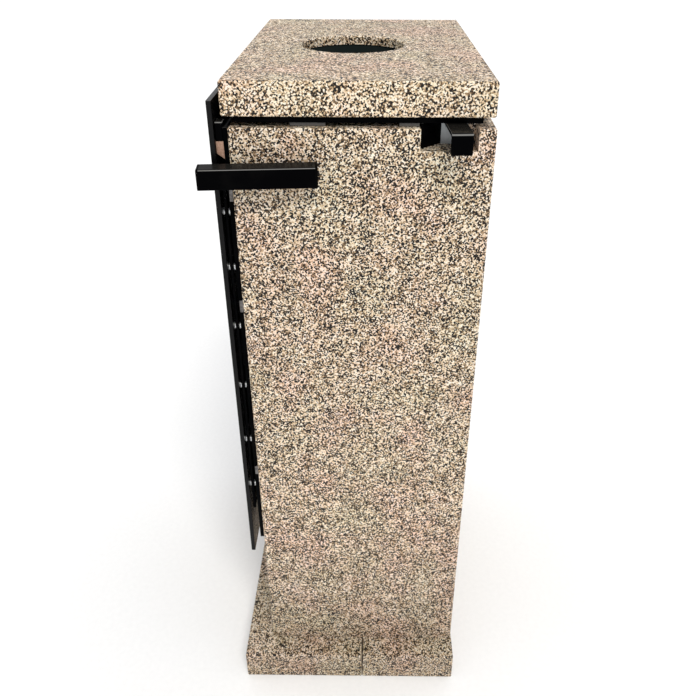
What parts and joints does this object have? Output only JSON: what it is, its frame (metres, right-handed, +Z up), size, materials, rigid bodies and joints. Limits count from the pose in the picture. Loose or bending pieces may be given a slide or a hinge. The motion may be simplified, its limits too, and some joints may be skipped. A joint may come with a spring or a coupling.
{
  "type": "ashtray bin",
  "caption": "Free-standing granite ashtray bin: slab body on a plinth, round-holed hinged stone lid, tall hinged steel door, side stop bar and a lift-out liner with a bail.",
  "frame": {"origin": "on the floor at the centre of the stone body and of the four floor anchors", "axes": "+Z up; the door is on the -Y side; +X is the side with the door's hinge, the side bar and the lift handle"},
  "size_m": [0.578, 0.358, 1],
  "materials": {
    "granite": "sawn and honed, beige-pink with dark grains",
    "black_powder_coat": "satin black powder coat",
    "black_plastic": "moulded black polyethylene",
    "zinc_plated_steel": "bright zinc plate",
    "galvanised_steel": "hot-dip galvanised sheet and section",
    "grey_rubber": "moulded grey rubber",
    "tan_rubber": "natural gum rubber",
    "lock_chrome": "polished chrome plate"
  },
  "bodies": {
    "carcass": {"plinth_front_stone": "granite", "plinth_rear_stone": "granite", "side_slab_near": "granite", "side_slab_far": "granite", "back_slab": "granite", "front_slab": "granite", "notch_guard": "black_powder_coat", "lid_hinge_brackets": "black_powder_coat", "hinge_leaf_frame": "black_powder_coat", "front_frame": "black_powder_coat", "buffer_brackets": "black_powder_coat", "side_bar": "black_powder_coat", "side_bar_wedge": "black_powder_coat", "side_bar_caps": "black_plastic", "lid_hinge_bolts": "zinc_plated_steel", "hinge_spacers_frame": "zinc_plated_steel", "hinge_screws_frame": "zinc_plated_steel", "frame_screws": "zinc_plated_steel", "frame_lugs": "zinc_plated_steel", "side_bar_studs": "zinc_plated_steel", "lid_hinge_pins": "zinc_plated_steel", "hinge_pin": "zinc_plated_steel", "side_panel_near": "galvanised_steel", "side_panel_far": "galvanised_steel", "corner_posts": "galvanised_steel", "base_rails": "galvanised_steel", "shelf_rails": "galvanised_steel", "top_rails": "galvanised_steel", "floor_tray": "galvanised_steel", "liner": "galvanised_steel", "liner_ears": "galvanised_steel", "liner_guides": "galvanised_steel", "lid_rest_pads": "grey_rubber", "door_buffers": "tan_rubber"},
    "lid": {"lid_slab": "granite", "lid_frame": "black_powder_coat", "chute_collar": "black_powder_coat", "lid_anchor_screws": "zinc_plated_steel", "lift_handle": "black_powder_coat", "lid_hinge_straps": "black_powder_coat"},
    "door": {"door_plate": "black_powder_coat", "hinge_leaf_door": "black_powder_coat", "hinge_spacers_door": "zinc_plated_steel", "hinge_screws_door": "zinc_plated_steel", "lock_body": "lock_chrome", "lock_nut": "zinc_plated_steel"},
    "lock_turning": {"lock_plug": "lock_chrome", "lock_cam": "zinc_plated_steel", "cam_screw": "zinc_plated_steel"},
    "bail": {"liner_bail": "galvanised_steel"}
  },
  "joints": [
    {"name": "door_swing", "type": "hinge", "parent": "carcass", "child": "door", "pos_m": [0.246, -0.1672, 0.628], "axis": [0, 0, 1], "range_deg": [0, 95]},
    {"name": "lock_turn", "type": "hinge", "parent": "door", "child": "lock_turning", "pos_m": [-0.167, -0.1525, 0.62], "axis": [0, 1, 0], "range_deg": [0, 90]},
    {"name": "lid_lift", "type": "hinge", "parent": "carcass", "child": "lid", "pos_m": [-0.26, 0, 0.956], "axis": [0, -1, 0], "range_deg": [0, 95]},
    {"name": "bail_swing", "type": "hinge", "parent": "carcass", "child": "bail", "pos_m": [0, -0.004, 0.739], "axis": [-1, 0, 0], "range_deg": [0, 228]}
  ]
}
